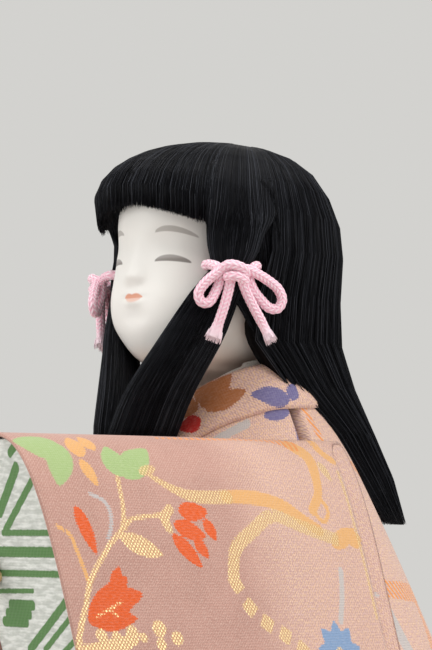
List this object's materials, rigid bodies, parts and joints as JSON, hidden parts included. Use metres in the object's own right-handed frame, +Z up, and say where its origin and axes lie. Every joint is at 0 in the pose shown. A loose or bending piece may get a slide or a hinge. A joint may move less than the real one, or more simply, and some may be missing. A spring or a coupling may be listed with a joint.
{
  "type": "kimekomi doll",
  "caption": "Seated long-haired kimekomi doll in a brocade robe tucked into grooves in its core, with wide sleeves and a plug-in head that turns and lifts out.",
  "frame": {"origin": "centre of the whole doll's box, at the underside of the base sheet", "axes": "+Z up, -Y the way the body faces, +X towards the doll's left hand"},
  "size_m": [0.132, 0.1342, 0.1655],
  "materials": {
    "pressed_sawdust": "matt",
    "brocade": "woven silk with metal thread",
    "lining_cloth": "woven",
    "white_silk": "satin",
    "base_felt": "matt",
    "bamboo": "satin",
    "shell_white": "smooth eggshell",
    "black_silk": "glossy strands",
    "pink_cord": "braided silk"
  },
  "bodies": {
    "figure": {"body_core": "pressed_sawdust", "base_sheet": "base_felt", "back_panel": "brocade", "front_panel_left": "brocade", "front_panel_right": "brocade", "hem_roll": "lining_cloth", "collar": "brocade", "under_collar": "white_silk", "sleeve_core_left": "pressed_sawdust", "sleeve_core_right": "pressed_sawdust", "sleeve_cloth_left": "brocade", "sleeve_cloth_right": "brocade", "sleeve_lining_left": "lining_cloth", "sleeve_lining_right": "lining_cloth", "sleeve_pin_left": "bamboo", "sleeve_pin_right": "bamboo", "hand_pin_left": "bamboo", "hand_pin_right": "bamboo", "hand_left": "shell_white", "hand_right": "shell_white"},
    "neck": {"neck_stick": "bamboo"},
    "head": {"head": "shell_white", "hair_back": "black_silk", "hair_fringe": "black_silk", "side_lock_left": "black_silk", "side_lock_right": "black_silk", "bow_left": "pink_cord", "bow_right": "pink_cord"}
  },
  "joints": [
    {"name": "neck_slide", "type": "slide", "parent": "figure", "child": "neck", "axis": [0, 0, 1], "range_m": [0, 0.03]},
    {"name": "head_turn", "type": "hinge", "parent": "neck", "child": "head", "pos_m": [0, 0.00676, 0.11], "axis": [0, 0, 1], "range_deg": [-8, 8]}
  ]
}
